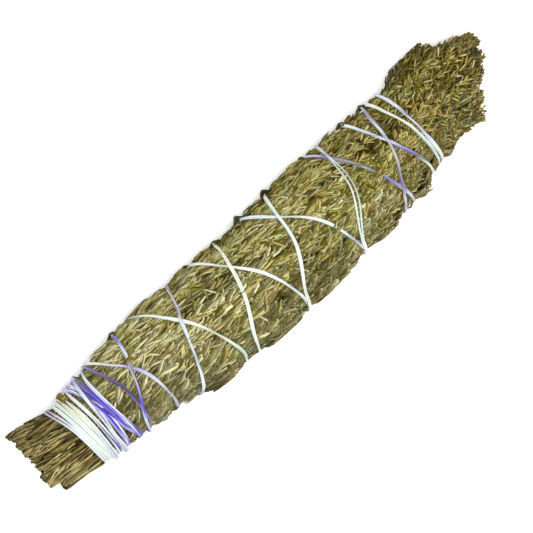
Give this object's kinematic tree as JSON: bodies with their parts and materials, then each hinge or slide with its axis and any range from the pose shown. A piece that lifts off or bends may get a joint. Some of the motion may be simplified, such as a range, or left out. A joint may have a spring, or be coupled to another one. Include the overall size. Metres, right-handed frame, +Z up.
{
  "type": "smudge stick",
  "caption": "Tight roll of dried sage sprays to be burnt, with cut stalks at one end and leaf tips at the other, bound by a thread wound up and back.",
  "frame": {"origin": "on the surface that the stick lies on, under the middle of its length and width", "axes": "+X along the stick from the cut stalks to the leaf tips, +Z up"},
  "size_m": [0.2259, 0.0453, 0.0359],
  "materials": {
    "sage_leaf": "dry, dull khaki green leaves",
    "sage_stalk": "dry, rough brown stalks",
    "cotton_thread": "variegated cotton in mint, white, lilac and violet"
  },
  "bodies": {
    "root": {"leafy_spray_1": "sage_leaf", "leafy_spray_2": "sage_leaf", "leafy_spray_3": "sage_leaf", "leafy_spray_4": "sage_leaf", "leafy_spray_5": "sage_leaf", "leafy_spray_6": "sage_leaf", "leafy_spray_7": "sage_leaf", "leafy_spray_8": "sage_leaf", "heart_spray_1": "sage_leaf", "heart_spray_2": "sage_leaf", "heart_spray_3": "sage_leaf", "stalk_01": "sage_stalk", "stalk_02": "sage_stalk", "stalk_03": "sage_stalk", "stalk_04": "sage_stalk", "stalk_05": "sage_stalk", "stalk_06": "sage_stalk", "stalk_07": "sage_stalk", "stalk_08": "sage_stalk", "stalk_09": "sage_stalk", "stalk_10": "sage_stalk", "stalk_11": "sage_stalk", "stalk_12": "sage_stalk", "stalk_13": "sage_stalk", "stalk_14": "sage_stalk", "stalk_15": "sage_stalk", "stalk_16": "sage_stalk", "stalk_17": "sage_stalk", "stalk_18": "sage_stalk", "stalk_19": "sage_stalk", "stalk_20": "sage_stalk", "stalk_21": "sage_stalk", "stalk_22": "sage_stalk", "stalk_23": "sage_stalk", "binding_thread": "cotton_thread"}
  },
  "joints": []
}
